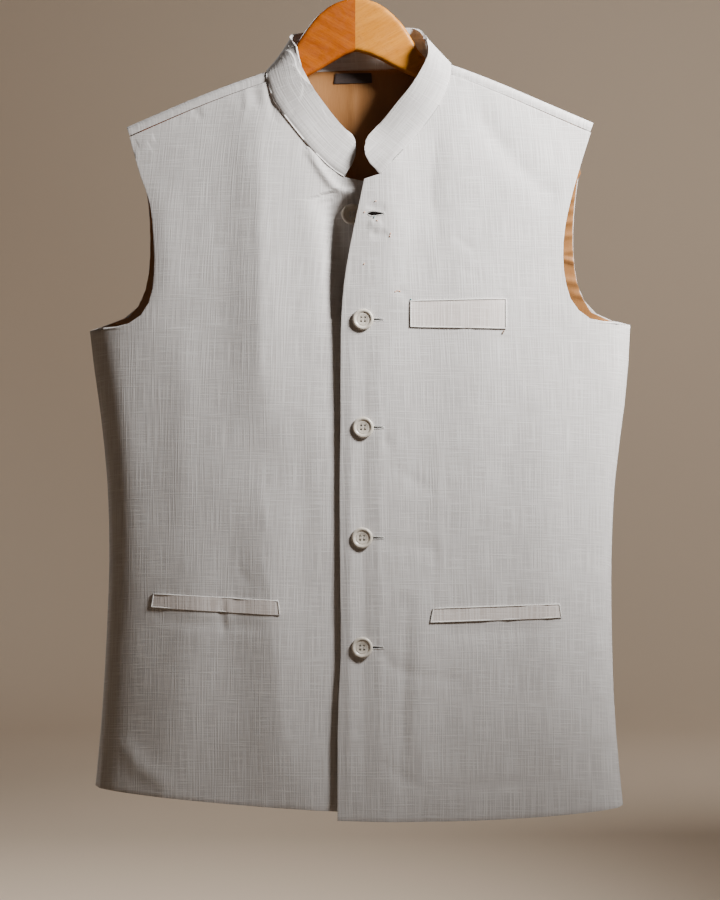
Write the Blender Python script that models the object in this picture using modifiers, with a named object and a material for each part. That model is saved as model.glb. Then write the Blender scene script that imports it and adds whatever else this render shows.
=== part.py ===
"""A stand-collar waistcoat hanging on a wooden hanger.

Metres, +Z up, the front facing -Y. The origin is the point inside the hook that bears on a rail.
The tables are in millimetres: x runs to the viewer's right, down is the distance below the
origin, and depth is the distance from the hanger's middle plane. Left and right are the wearer's,
so the right front lies at -x.
"""

import math

import bmesh
import bpy
import numpy as np
from mathutils import Vector
from mathutils.bvhtree import BVHTree

MM = 0.001

CLOTH_WALL = 1.8
LINING_WALL = 1.0
COLLAR_WALL = 2.2
WELT_WALL = 1.5
LABEL_WALL = 0.6
SEAM_GAP = 0.3
LAID_GAP = 0.6
LINING_GAP = 0.6

PANEL_COLUMNS = 18
SHOULDER_COLUMNS = 7
NECK_COLUMNS = 8
NECK_ROWS = 8
ARMHOLE_ROWS = 17
BACK_ARMHOLE_ROWS = 13
SIDE_ROWS = 12
COLLAR_COLUMNS = 44
NECK_PATH_POINTS = 240
ROW_POINTS = 240
CURVE_POINTS = 400
FOLD_POINTS = 41

# The cloth turns over the hanger in a half oval and then falls outwards to the body's section.
RIDGE_DEPTH = 8.5
RIDGE_DROP = 7.0
FALL = 110.0
SIDE_ROUNDNESS = 2.6
SHOULDER_SEAM_DROP = 11.0
PIT_ROW_DOWN = 382.0

COLLAR_CORNER = 0.72
COLLAR_RIGHT_END = -15.0
COLLAR_LEFT_END = 19.0
COLLAR_HEIGHTS = (0.0, 0.35, 0.6, 0.78, 0.9, 0.97, 1.0)

BUTTON_RADIUS = 10.0
BUTTON_HOLE_RADIUS = 1.0
BUTTON_HOLE_OFFSET = 2.3
BUTTON_HOLE_SIDES = 6
BUTTON_DRILL = 8.0
BUTTON_STEPS = 20

WOOD_THICKNESS = 11.0
WOOD_ROUNDING = 3.0
WOOD_BELOW_RIDGE = 3.1
MITRE_X = -4.5
HOOK_RADIUS = 18.25
HOOK_WIRE = 1.75
HOOK_FOOT_DOWN = 61.3
HOOK_ARC = (205, -48)
HOOK_ARC_POINTS = 20


def table(names, *rows):
    """A short table, as one array for each named column."""
    return dict(zip(names.split(), np.array(rows, float).T))


BODY = table(
    "down right_half left_half front back",
    (120, 250, 250, 20, 22),
    (185, 250, 250, 22, 22),
    (250, 252, 252, 25, 24),
    (310, 254, 254, 29, 26),
    (377, 256.7, 256.5, 33, 28),
    (443, 248, 251.6, 36, 30),
    (520, 240, 242, 38, 32),
    (585, 238.2, 239, 39, 33),
    (678, 241.4, 239.5, 41, 34),
    (749, 245.8, 242.5, 42, 35),
    (830, 253.5, 250.2, 43, 36),
)

SHOULDER = table(
    "x down",
    (-221.4, 183.2),
    (-187.2, 168.3),
    (-149.2, 152.4),
    (-110.7, 138.0),
    (-88.9, 130.6),
    (86.5, 123.8),
    (129.2, 139.8),
    (177.7, 160.4),
    (221.4, 179.1),
)

NECK_POINT = 4

# Each edge runs down from the shoulder seam.
ARMHOLE = {
    "front_right": table(
        "x down",
        (-218, 194),
        (-208, 229),
        (-199, 254),
        (-194.5, 288),
        (-193.5, 318),
        (-196, 343),
        (-203, 360),
        (-216, 370),
        (-236, 375.5),
        (-256.7, 377),
    ),
    "front_left": table(
        "x down",
        (218.3, 189.8),
        (207, 225),
        (198, 257),
        (192.3, 285),
        (191, 305),
        (193, 330),
        (198, 348),
        (206, 359),
        (217, 366.5),
        (234, 370),
        (256.5, 371.5),
    ),
    "back_right": table(
        "x down",
        (-219.2, 189.3),
        (-212, 212),
        (-205, 238),
        (-202, 262),
        (-201, 287),
        (-201.3, 307),
        (-204, 330),
        (-212, 352),
        (-227, 365),
        (-242, 372),
        (-256.7, 377),
    ),
    "back_left": table(
        "x down",
        (219.2, 185.2),
        (213, 205),
        (208, 235),
        (205, 262),
        (204, 290),
        (205.5, 315),
        (210, 337),
        (219, 353),
        (231, 363),
        (243, 368.5),
        (256.5, 371.5),
    ),
}

NECKLINE = {
    "front_right": table(
        "x down",
        (-88.4, 141.9),
        (-86, 151),
        (-78, 166),
        (-62, 188),
        (-47, 206),
        (-32, 221),
        (-15, 233),
        (4, 236.5),
        (22, 238),
    ),
    "front_left": table(
        "x down",
        (86, 134.9),
        (83, 146),
        (74, 166),
        (58, 188),
        (43, 206),
        (29, 221),
        (19, 231.5),
        (4, 236),
    ),
}

FRONT_EDGE = {
    "front_right": table("down x", (238, 22), (500, 22), (829.5, 22)),
    "front_left": table(
        "down x",
        (236, 4),
        (255, 0),
        (276, -4.5),
        (314, -12),
        (335, -15),
        (359, -17),
        (387, -18),
        (443, -18),
        (520, -19),
        (610, -18.5),
        (686, -18),
        (723, -20),
        (835, -21),
    ),
}

HEM = {
    "front_right": {"side": 808.5, "edge": 829.5, "sag": 2.0},
    "front_left": {"side": 826.8, "edge": 835.0, "sag": 4.5},
}

# Near the front edges the top front stands out, and the under front dips from dip_from inwards.
PLACKET = table(
    "down lift dip dip_from",
    (150, 7.5, 1.0, -84),
    (200, 7.5, 4.0, -68),
    (236, 7.5, 7.0, -56),
    (268, 7.0, 9.5, -48),
    (320, 5.0, 8.5, -46),
    (380, 3.2, 5.0, -48),
    (450, 2.4, 3.0, -50),
    (640, 2.3, 2.2, -50),
    (760, 2.6, 2.8, -50),
    (836, 3.4, 3.2, -50),
)
DIP_WIDTH = 38.0
FOLD_FULL_DEPTH = 16.0
LIFT_FULL_X = 24.0
LIFT_END_X = 60.0

# A positive height is a ridge that stands out, a negative one a trough.
FOLDS = {
    "front_right": table(
        "top_x top_down mid_x mid_down low_x low_down width height",
        (-97, 150, -94, 300, -91, 480, 24, 6.0),
        (-90, 520, -82, 660, -70, 826, 22, 4.0),
        (-234, 384, -223, 471, -214, 650, 12, 2.2),
        (-184, 240, -182, 290, -180, 360, 10, 1.6),
        (-150, 560, -160, 690, -190, 826, 22, 2.4),
    ),
    "front_left": table(
        "top_x top_down mid_x mid_down low_x low_down width height",
        (104, 152, 134, 203, 190, 254, 9, -3.0),
        (71, 186, 68, 238, 76, 292, 8, -2.2),
        (58, 600, 56, 714, 60, 832, 13, 2.6),
        (168, 400, 172, 560, 180, 790, 24, 2.6),
        (110, 300, 112, 420, 104, 560, 26, 2.2),
    ),
    "back": table(
        "top_x top_down mid_x mid_down low_x low_down width height",
        (-120, 190, -104, 450, -122, 812, 28, 4.0),
        (104, 200, 116, 480, 102, 818, 26, 3.6),
        (4, 150, -4, 300, 6, 470, 26, -3.0),
        (-176, 330, -184, 560, -176, 790, 16, 2.4),
    ),
}

# Where the collar's top edge passes, at a share of the way round the neck. height is how high the
# collar stands there, and seam is how far above the neck's edge it starts.
COLLAR_TOP = table(
    "share x down depth height seam",
    (0.00, 5.5, 202, -11, 37, 0.9),
    (0.06, -11.5, 194.5, -9, 37, 0.9),
    (0.12, -29.5, 174, -10, 37, 0.9),
    (0.18, -43.5, 151, -11, 37, 1.1),
    (0.22, -52, 135.5, -11, 37, 1.3),
    (0.25, -57, 124, -12, 37, 1.5),
    (0.27, -60.5, 115, -12, 37, 1.6),
    (0.29, -63.5, 106, -8, 37, 1.7),
    (0.31, -65, 98.5, 1, 38, 1.5),
    (0.33, -62.5, 94.5, 9, 38, 1.3),
    (0.36, -57, 91.5, 14, 38, 0.9),
    (0.40, -45, 90, 16, 38, 0.7),
    (0.50, 0, 88.5, 16, 38, 0.5),
    (0.60, 45, 87.5, 16, 38, 0.7),
    (0.64, 54, 90, 13, 37, 0.9),
    (0.67, 60, 96.5, 3, 35, 1.3),
    (0.69, 63, 102, -6, 34, 1.5),
    (0.71, 65.5, 105.5, -13, 34, 1.7),
    (0.73, 66, 112, -17, 33, 1.6),
    (0.75, 65.5, 118, -19, 33, 1.5),
    (0.78, 61.5, 128, -20, 33, 1.3),
    (0.82, 51.5, 146, -20, 33, 0.9),
    (0.88, 33.8, 171, -17, 33, 0.7),
    (0.94, 16.4, 190.5, -17, 34, 0.7),
    (1.00, -8, 204.5, -25, 38, 0.7),
)

# The back's top rows turn over the hanger by these angles. neck_rise is how much higher a row runs
# in the middle of the neck than at its two ends, and roundness is the shape of that rise.
OVER_SHOULDER = table(
    "angle neck_rise roundness",
    (-90, 0, 1),
    (-60, 0, 1),
    (-30, 0, 1),
    (0, 0, 1),
    (30, 2.1, 0.5),
    (60, -0.3, 0.6),
    (90, -2.8, 0.7),
)
FIRST_NECK_ROW = 5
TIP_CUT = 0.0014
NECK_RISE_ROWS = 3
ROUNDNESS_STEP = 0.3
MOST_ROUNDNESS = 1.5
LINING_INSET = 0.2

# Corners run round from the top left, as x and down.
WELTS = {
    "chest_welt": ("front_left", (47, 350), (137, 348), (137, 376.5), (47, 375), 8, 3),
    "pocket_welt_right": ("front_right", (-194, 624.5), (-76, 630.5), (-74.5, 644), (-196, 637.5), 14, 1),
    "pocket_welt_left": ("front_left", (68, 637.5), (187, 634), (189, 647), (65.5, 651), 14, 1),
}
LABEL = ((-23.5, 129.5), (11, 129), (11.5, 138.5), (-25, 139.5))
LABEL_CELLS = (4, 1)
AHEAD_OF_FRONT = -200.0

BUTTONS = table("x down", (-7.6, 268), (2.8, 368), (2.8, 469), (1.9, 572), (1.9, 674))
BUTTON_PROFILE = table(
    "radius height",
    (0, 1.9),
    (5.6, 1.9),
    (7.0, 2.9),
    (8.6, 3.1),
    (9.8, 2.1),
    (10.0, 1.1),
    (8.6, 0.0),
    (0, 0.0),
)

# The top of each arm runs from the mitre out to where it goes under the shoulder, and the
# underside runs back from the tip.
ARM_TOP = {
    "hanger_arm_right": table(
        "x down",
        (-14, 62.4),
        (-28, 68),
        (-39, 76),
        (-49, 88),
        (-58, 101),
        (-65, 113),
        (-74, 125),
    ),
    "hanger_arm_left": table(
        "x down",
        (10, 63),
        (20, 67.5),
        (32, 77),
        (42, 88),
        (50, 101),
        (57, 113),
        (68, 122),
    ),
}
ARM_UNDER = {
    "hanger_arm_right": table(
        "x down",
        (-206, 197),
        (-170, 183),
        (-130, 168),
        (-90, 154),
        (-62, 142),
        (-40, 130),
        (-20, 118),
    ),
    "hanger_arm_left": table(
        "x down",
        (206, 192.5),
        (170, 178),
        (130, 162),
        (92, 149),
        (62, 140),
        (38, 129.5),
        (14, 117),
    ),
}
UNDER_SHOULDER_X = 88.0
UNDER_SHOULDER_POINTS = 9
ARM_TIP_X = 214.0
ARM_TOP_POINTS = 26
ARM_UNDER_POINTS = 18
# Below the end of the hook's bow, its wire bends back to the middle.
HOOK_STEM = table("x down", (6.5, 5.5), (1.6, 10.5), (0, 16))
MITRE_TOP_DOWN = 61.6
MITRE_LOW_DOWN = 110.0


def smooth(xs, ys, x):
    """A cubic curve through the points (xs, ys), read at x and straight beyond its ends."""
    slopes = np.gradient(ys, xs)
    x = np.asarray(x, float)
    first = np.clip(np.searchsorted(xs, x) - 1, 0, len(xs) - 2)
    step = xs[first + 1] - xs[first]
    t = np.clip((x - xs[first]) / step, 0, 1)
    ends = ys[first] * (1 + 2 * t) * (1 - t) ** 2 + ys[first + 1] * t**2 * (3 - 2 * t)
    bend = slopes[first] * t * (1 - t) ** 2 - slopes[first + 1] * t**2 * (1 - t)
    before = np.minimum(x - xs[0], 0) * slopes[0]
    after = np.maximum(x - xs[-1], 0) * slopes[-1]
    return ends + step * bend + before + after


def ease(share):
    """A share from 0 to 1 that starts and stops gently."""
    share = np.clip(share, 0, 1)
    return share**2 * (3 - 2 * share)


def lengths(curve):
    """The distance along a line of points, at each point."""
    steps = np.linalg.norm(np.diff(curve, axis=0), axis=1)
    return np.concatenate([[0], np.cumsum(steps)])


def even(curve, count):
    """Points at even distances along a line of points."""
    reach = lengths(curve)
    at = np.linspace(0, reach[-1], count)
    return np.stack([np.interp(at, reach, column) for column in curve.T], axis=1)


def through(points, count):
    """Points at even distances along the smooth curve through some points."""
    reach = lengths(points)
    fine = np.linspace(0, reach[-1], CURVE_POINTS)
    curve = np.stack([smooth(reach, column, fine) for column in points.T], axis=1)
    return even(curve, count)


def points_of(edge):
    return np.stack([edge["x"], edge["down"]], axis=1)


def half_width(x, down):
    right = smooth(BODY["down"], BODY["right_half"], down)
    left = smooth(BODY["down"], BODY["left_half"], down)
    return np.where(np.asarray(x) < 0, right, left)


def shoulder(x):
    """How far down the shoulder line lies at x."""
    return smooth(SHOULDER["x"], SHOULDER["down"], x)


def hang(x, down, face):
    """Depth of the plain cloth: over the hanger, then out to a flattened oval with round sides."""
    share = np.minimum(np.abs(x) / half_width(x, down), 1)
    oval = (1 - share**SIDE_ROUNDNESS) ** (1 / SIDE_ROUNDNESS)
    full = smooth(BODY["down"], BODY[face], down) * oval
    drop = np.maximum(down - shoulder(x), 0)
    turn = RIDGE_DEPTH * np.sqrt(1 - (1 - np.minimum(drop / RIDGE_DROP, 1)) ** 2)
    fall = np.clip((drop - RIDGE_DROP) / FALL, 0, 1)
    return turn + (full - turn) * fall * (2 - fall)


def folds(panel, x, down):
    """How far a panel's folds stand out: each is a soft ridge along a bent line."""
    t = np.linspace(0, 1, FOLD_POINTS)
    fade = np.sqrt(4 * t * (1 - t))
    total = np.zeros_like(x)
    for row in zip(*FOLDS[panel].values()):
        top_x, top_down, mid_x, mid_down, low_x, low_down, width, height = row
        weights = np.array([(1 - t) * (1 - 2 * t), 4 * t * (1 - t), t * (2 * t - 1)])
        line_x = np.array([top_x, mid_x, low_x]) @ weights
        line_down = np.array([top_down, mid_down, low_down]) @ weights
        apart = np.hypot(x[..., None] - line_x, down[..., None] - line_down)
        nearest = apart.argmin(axis=-1)
        total += height * fade[nearest] * np.exp(-((apart.min(axis=-1) / width) ** 2))
    return total


def folded(panel, face, x, down):
    """Depth of a panel's outer face with its folds, which die out where it turns at the side."""
    plain = hang(x, down, face)
    return plain + folds(panel, x, down) * ease(plain / FOLD_FULL_DEPTH)


def front_depth(panel, x, down):
    """Depth of a front's outer face, with its folds and its placket."""
    full = folded(panel, "front", x, down)
    if panel == "front_left":
        share = 1 - ease((x - LIFT_FULL_X) / (LIFT_END_X - LIFT_FULL_X))
        return full + smooth(PLACKET["down"], PLACKET["lift"], down) * share
    share = ease((x - smooth(PLACKET["down"], PLACKET["dip_from"], down)) / DIP_WIDTH)
    return full - smooth(PLACKET["down"], PLACKET["dip"], down) * share


def row_line(start, end, bend, sag):
    """x and down along a row of a panel, closer together at its start, where the side turns."""
    t = 1 - np.cos(np.linspace(0, math.pi / 2, ROW_POINTS))
    x = start[0] + (end[0] - start[0]) * t
    chord = shoulder(start[0]) + (shoulder(end[0]) - shoulder(start[0])) * t
    down = start[1] + (end[1] - start[1]) * t + (shoulder(x) - chord) * bend + 4 * sag * t * (1 - t)
    return x, down


def side_edge(side, hem_down):
    """x and down of the side seam's rows, below the armhole."""
    top = ARMHOLE["front_right" if side < 0 else "front_left"]["down"][-1]
    down = np.linspace(top, hem_down, SIDE_ROWS + 1)[1:]
    return np.stack([side * half_width(side, down), down], axis=1)


def front_grid(panel):
    """A front's outer points: rows from the shoulder seam to the hem, columns to the front edge."""
    hem = HEM[panel]
    side = -1 if panel == "front_right" else 1
    armhole = through(points_of(ARMHOLE[panel]), ARMHOLE_ROWS + 1)
    neck = through(points_of(NECKLINE[panel]), NECK_ROWS + 1)
    upper = np.linspace(neck[-1, 1], PIT_ROW_DOWN, ARMHOLE_ROWS - NECK_ROWS + 1)[1:]
    lower = np.linspace(PIT_ROW_DOWN, hem["edge"], SIDE_ROWS + 1)[1:]
    edge_down = np.concatenate([upper, lower])
    edge_x = smooth(FRONT_EDGE[panel]["down"], FRONT_EDGE[panel]["x"], edge_down)
    starts = np.concatenate([armhole, side_edge(side, hem["side"])])
    ends = np.concatenate([neck, np.stack([edge_x, edge_down], axis=1)])
    rows = []
    for number, (start, end) in enumerate(zip(starts, ends)):
        bend = max(0.0, 1 - number / NECK_ROWS)
        sag = hem["sag"] * max(0.0, (number - ARMHOLE_ROWS) / SIDE_ROWS)
        x, down = row_line(start, end, bend, sag)
        y = np.minimum(-front_depth(panel, x, down), -SEAM_GAP / 2)
        rows.append(even(np.stack([x, y, -down], axis=1), PANEL_COLUMNS + 1))
    return np.array(rows)


def back_row(ends, necks, bend, turn, rise, roundness):
    """One row of the back: a stretch from each side to the neck's width, and one between them.

    turn is the share of the hanger's depth that a row over the shoulders has, or None below them.
    """
    stretches = []
    for end, neck in zip(ends, necks):
        x, down = row_line(end, neck, bend, 0.0)
        y = folded("back", "back", x, down) if turn is None else np.full_like(x, RIDGE_DEPTH * turn)
        y = y if turn is not None else np.maximum(y, SEAM_GAP / 2)
        stretches.append(even(np.stack([x, y, -down], axis=1), SHOULDER_COLUMNS + 1))
    right, left = stretches
    t = np.linspace(0, 1, NECK_COLUMNS + 1)
    middle = right[-1] + (left[-1] - right[-1]) * t[:, None]
    hump = (4 * t * (1 - t)) ** roundness
    middle[:, 2] += rise * hump
    x, down = middle[:, 0], -middle[:, 2]
    if turn is None:
        middle[:, 1] = folded("back", "back", x, down)
    centre = NECK_COLUMNS // 2
    crown = smooth(BODY["down"], BODY["back"], down[centre]) + folds("back", x, down)[centre]
    middle[:, 1] += (crown - middle[centre, 1]) * hump
    return np.concatenate([right, middle[1:-1], left[::-1]])


def back_grid():
    """The back's outer points: rows from its seams with the fronts, over the shoulders, to the hem."""
    tips = SHOULDER["x"][[0, -1]]
    necks = SHOULDER["x"][[NECK_POINT, NECK_POINT + 1]]
    angles = np.radians(OVER_SHOULDER["angle"])
    drops = [SHOULDER_SEAM_DROP - SEAM_GAP, *(RIDGE_DROP * (1 - np.cos(angles)))]
    turns = [-1.0, *np.sin(angles)]
    rises = [0.0, *OVER_SHOULDER["neck_rise"]]
    rounds = [1.0, *OVER_SHOULDER["roundness"]]
    rows = []
    for drop, turn, rise, roundness in zip(drops, turns, rises, rounds):
        tip_x = tips * (1 - TIP_CUT * drop)
        ends = np.stack([tip_x, shoulder(tip_x) + drop], axis=1)
        middles = np.stack([necks, shoulder(necks) + drop], axis=1)
        rows.append(back_row(ends, middles, 1.0, turn, rise, roundness))

    edges = []
    for side, panel in ((-1, "back_right"), (1, "back_left")):
        armhole = through(points_of(ARMHOLE[panel]), BACK_ARMHOLE_ROWS + 1)[1:]
        hem_down = HEM["front_right" if side < 0 else "front_left"]["side"]
        edges.append(np.concatenate([armhole, side_edge(side, hem_down)]))
    starts = shoulder(necks) + RIDGE_DROP
    share = (necks - tips[0]) / (tips[1] - tips[0])
    for number, ends in enumerate(zip(*edges), start=1):
        lower = number - BACK_ARMHOLE_ROWS
        level = ends[0][1] + (ends[1][1] - ends[0][1]) * share
        if lower < 0:
            pit = [edge[BACK_ARMHOLE_ROWS - 1, 1] for edge in edges]
            pit_level = pit[0] + (pit[1] - pit[0]) * share
            level = starts + (pit_level - starts) * number / BACK_ARMHOLE_ROWS
        bend = max(0.0, 1 - number / NECK_ROWS)
        rise = OVER_SHOULDER["neck_rise"][-1] * max(0.0, 1 - number / NECK_RISE_ROWS)
        roundness = OVER_SHOULDER["roundness"][-1] + ROUNDNESS_STEP * number
        roundness = min(roundness, MOST_ROUNDNESS)
        middles = np.stack([necks, level], axis=1)
        rows.append(back_row(ends, middles, bend, None, rise, roundness))
    return np.array(rows)


def back_cells(grid):
    """Which cells of the back's grid hold cloth: all but the ones in the neck."""
    keep = np.ones((grid.shape[0] - 1, grid.shape[1] - 1), bool)
    keep[:FIRST_NECK_ROW, SHOULDER_COLUMNS:-SHOULDER_COLUMNS] = False
    return keep


def lining_cells(grid):
    """The lining's cells: below the neck seam and the hanger's arms, and short of the hem."""
    keep = back_cells(grid)
    arms_end = len(OVER_SHOULDER["angle"]) + 2
    keep[:FIRST_NECK_ROW] = False
    keep[:arms_end, : SHOULDER_COLUMNS + 1] = False
    keep[:arms_end, -SHOULDER_COLUMNS - 1 :] = False
    keep[-1] = False
    return keep


def normals(grid, outward):
    """The direction out of the cloth at each point of a grid."""
    across = np.gradient(grid, axis=1)
    along_rows = np.gradient(grid, axis=0)
    normal = np.cross(across, along_rows) * outward
    return normal / np.linalg.norm(normal, axis=2, keepdims=True)


def new_object(name, mesh, material, collection):
    """Adds a finished mesh to the part, with its material and smooth faces."""
    mesh.materials.append(material)
    mesh.shade_smooth()
    mesh.set_sharp_from_angle(angle=math.radians(40))
    piece = bpy.data.objects.new(name, mesh)
    collection.objects.link(piece)
    return piece


def sheet_mesh(name, outer, inner, keep):
    """A closed wall between two grids of points, over the cells to keep."""
    rows, columns = outer.shape[:2]
    index = np.arange(rows * columns).reshape(rows, columns)
    shift = rows * columns
    faces = []
    borders = {}
    for row, column in zip(*np.nonzero(keep)):
        corners = (
            index[row, column],
            index[row + 1, column],
            index[row + 1, column + 1],
            index[row, column + 1],
        )
        corners = tuple(int(corner) for corner in corners)
        faces.append(corners)
        faces.append(tuple(corner + shift for corner in reversed(corners)))
        for first, second in zip(corners, corners[1:] + corners[:1]):
            if borders.pop((second, first), None) is None:
                borders[first, second] = True
    faces += [(second, first, first + shift, second + shift) for first, second in borders]
    mesh = bpy.data.meshes.new(name)
    points = np.concatenate([outer.reshape(-1, 3), inner.reshape(-1, 3)]) * MM
    mesh.from_pydata(points.tolist(), [], faces)
    shell = bmesh.new()
    shell.from_mesh(mesh)
    bmesh.ops.delete(shell, geom=[point for point in shell.verts if not point.link_faces], context="VERTS")
    bmesh.ops.recalc_face_normals(shell, faces=shell.faces)
    shell.to_mesh(mesh)
    shell.free()
    return mesh


def squared_normals(grid, outward, armhole_rows, sides):
    """A panel's normals, square to its side seams, so that two panels meet flat there."""
    normal = normals(grid, outward)
    for column in sides:
        normal[armhole_rows:, column, 1] = 0
    return normal / np.linalg.norm(normal, axis=2, keepdims=True)


def tree_of(mesh):
    points = [point.co for point in mesh.vertices]
    return BVHTree.FromPolygons(points, [list(face.vertices) for face in mesh.polygons])


def cast(tree, x, down, from_y):
    """Where a line backwards from from_y meets a piece, in millimetres, and which way its face looks."""
    place, normal, _, _ = tree.ray_cast(Vector((x, from_y, -down)) * MM, Vector((0, 1, 0)))
    return np.array(place) / MM, np.array(normal)


def patch_mesh(name, tree, corners, columns, rows, wall, from_y):
    """A thin piece that lies on another: points of its surface between four corners, moved out."""
    top_left, top_right, low_right, low_left = np.array(corners, float)
    places = np.zeros((rows + 1, columns + 1, 3))
    facing = np.zeros(3)
    for row, across in np.ndindex(rows + 1, columns + 1):
        u, v = across / columns, row / rows
        x, down = (top_left * (1 - u) + top_right * u) * (1 - v) + (low_left * (1 - u) + low_right * u) * v
        places[row, across], normal = cast(tree, x, down, from_y)
        facing += normal
    facing /= np.linalg.norm(facing)
    inner = places + facing * LAID_GAP
    return sheet_mesh(name, inner + facing * wall, inner, np.ones((rows, columns), bool))


def button_mesh():
    """A turned button with a raised rim and four holes, facing +Z, made once for all five."""
    profile = bpy.data.meshes.new("button_profile")
    points = [(radius * MM, 0, height * MM) for radius, height in zip(*BUTTON_PROFILE.values())]
    profile.from_pydata(points, [(first, first + 1) for first in range(len(points) - 1)], [])
    blank = bpy.data.objects.new("button_blank", profile)
    cutters.objects.link(blank)
    turn = blank.modifiers.new("turn", "SCREW")
    turn.steps = turn.render_steps = BUTTON_STEPS
    turn.use_merge_vertices = True
    turn.merge_threshold = 0.00001
    turn.use_normal_calculate = True
    drill = bmesh.new()
    for corner in range(4):
        angle = math.radians(45 + 90 * corner)
        place = Vector((math.cos(angle), math.sin(angle), 0.5)) * BUTTON_HOLE_OFFSET * MM
        hole = bmesh.ops.create_cone(
            drill,
            cap_ends=True,
            segments=BUTTON_HOLE_SIDES,
            radius1=BUTTON_HOLE_RADIUS * MM,
            radius2=BUTTON_HOLE_RADIUS * MM,
            depth=BUTTON_DRILL * MM,
        )
        bmesh.ops.translate(drill, verts=hole["verts"], vec=place)
    holes = bpy.data.meshes.new("button_holes")
    drill.to_mesh(holes)
    drill.free()
    cutter = bpy.data.objects.new("button_holes", holes)
    cutters.objects.link(cutter)
    cut = blank.modifiers.new("holes", "BOOLEAN")
    cut.object = cutter
    cut.operation = "DIFFERENCE"
    bpy.context.view_layer.update()
    graph = bpy.context.evaluated_depsgraph_get()
    mesh = bpy.data.meshes.new_from_object(blank.evaluated_get(graph))
    bpy.data.objects.remove(blank)
    bpy.data.objects.remove(cutter)
    return mesh


def seat_button(piece, tree, x, down):
    """Lays a button on the cloth, touching where the cloth stands out most under its rim."""
    centre, facing = cast(tree, x, down, AHEAD_OF_FRONT)
    around = []
    for angle in np.radians(np.arange(0, 360, 30)):
        for radius in (BUTTON_RADIUS, BUTTON_RADIUS / 2):
            beside = (x + radius * np.cos(angle), down + radius * np.sin(angle))
            place, normal = cast(tree, *beside, AHEAD_OF_FRONT)
            around.append(place)
            facing = facing + normal
    facing /= np.linalg.norm(facing)
    height = max((place - centre) @ facing for place in around)
    piece.location = Vector(centre + facing * (max(height, 0) + SEAM_GAP)) * MM
    piece.rotation_euler = Vector(facing).to_track_quat("Z", "Y").to_euler()


def material(name, colour, roughness, metallic=0.0):
    finish = bpy.data.materials.new(name)
    finish.use_nodes = True
    shader = finish.node_tree.nodes["Principled BSDF"]
    shader.inputs["Base Color"].default_value = (*colour, 1)
    shader.inputs["Roughness"].default_value = roughness
    shader.inputs["Metallic"].default_value = metallic
    finish.diffuse_color = (*colour, 1)
    return finish


def make_fronts():
    trees = {}
    for panel, outward, cloth in (("front_right", -1, linen), ("front_left", 1, linen)):
        grid = front_grid(panel)
        keep = np.ones((grid.shape[0] - 1, grid.shape[1] - 1), bool)
        normal = squared_normals(grid, outward, ARMHOLE_ROWS, (0,))
        mesh = sheet_mesh(panel, grid, grid - normal * CLOTH_WALL, keep)
        new_object(panel, mesh, cloth, part)
        trees[panel] = tree_of(mesh)
    return trees


def make_back():
    grid = back_grid()
    top_rows = len(OVER_SHOULDER["angle"])
    normal = squared_normals(grid, 1, top_rows + BACK_ARMHOLE_ROWS, (0, -1))
    mesh = sheet_mesh("back", grid, grid - normal * CLOTH_WALL, back_cells(grid))
    new_object("back", mesh, linen, part)
    outer = grid - normal * (CLOTH_WALL + LINING_GAP)
    inner = outer - normal * LINING_WALL
    for face in (outer, inner):
        face[:, 0] += (face[:, 1] - face[:, 0]) * LINING_INSET
        face[:, -1] += (face[:, -2] - face[:, -1]) * LINING_INSET
    lining = sheet_mesh("back_lining", outer, inner, lining_cells(grid))
    new_object("back_lining", lining, satin, part)
    label = patch_mesh("neck_label", tree_of(lining), LABEL, *LABEL_CELLS, LABEL_WALL, 0)
    new_object("neck_label", label, woven, part)
    return grid


def neck_path(grid):
    """The neck's seam from the right front's end, round the back, to the left front's end."""
    fronts = []
    for panel in ("front_right", "front_left"):
        x, down = through(points_of(NECKLINE[panel]), NECK_PATH_POINTS).T
        shown = x <= COLLAR_RIGHT_END if panel == "front_right" else x >= COLLAR_LEFT_END
        y = -front_depth(panel, x[shown], down[shown])
        fronts.append(np.stack([x[shown], y, -down[shown]], axis=1))
    right, left = SHOULDER_COLUMNS, grid.shape[1] - 1 - SHOULDER_COLUMNS
    over_right = grid[1:FIRST_NECK_ROW, right]
    over_left = grid[1:FIRST_NECK_ROW, left]
    behind = grid[FIRST_NECK_ROW, right : left + 1]
    return np.concatenate([fronts[0][::-1], over_right, behind, over_left[::-1], fronts[1]])


def make_collar(grid):
    """A leaning band round the neck's seam, with its top corners cut round at the two ends."""
    path = neck_path(grid)
    reach = lengths(path)
    stands = COLLAR_TOP["height"][0]
    rows = []
    for level in COLLAR_HEIGHTS:
        above = max(0.0, level - (1 - COLLAR_CORNER))
        inset = stands * (COLLAR_CORNER - math.sqrt(COLLAR_CORNER**2 - above**2))
        at = np.linspace(inset, reach[-1] - inset, COLLAR_COLUMNS + 1)
        base = np.stack([np.interp(at, reach, column) for column in path.T], axis=1)
        top = {name: smooth(COLLAR_TOP["share"], COLLAR_TOP[name], at / reach[-1]) for name in COLLAR_TOP}
        lean = np.stack([top["x"], top["depth"], -top["down"]], axis=1) - base
        lean /= np.linalg.norm(lean, axis=1, keepdims=True)
        rows.append(base + lean * (top["seam"] + top["height"] * level)[:, None])
    outer = np.array(rows)
    inner = outer + normals(outer, -1) * COLLAR_WALL
    mesh = sheet_mesh("collar", outer, inner, np.ones((len(rows) - 1, COLLAR_COLUMNS), bool))
    new_object("collar", mesh, linen, part)


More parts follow.
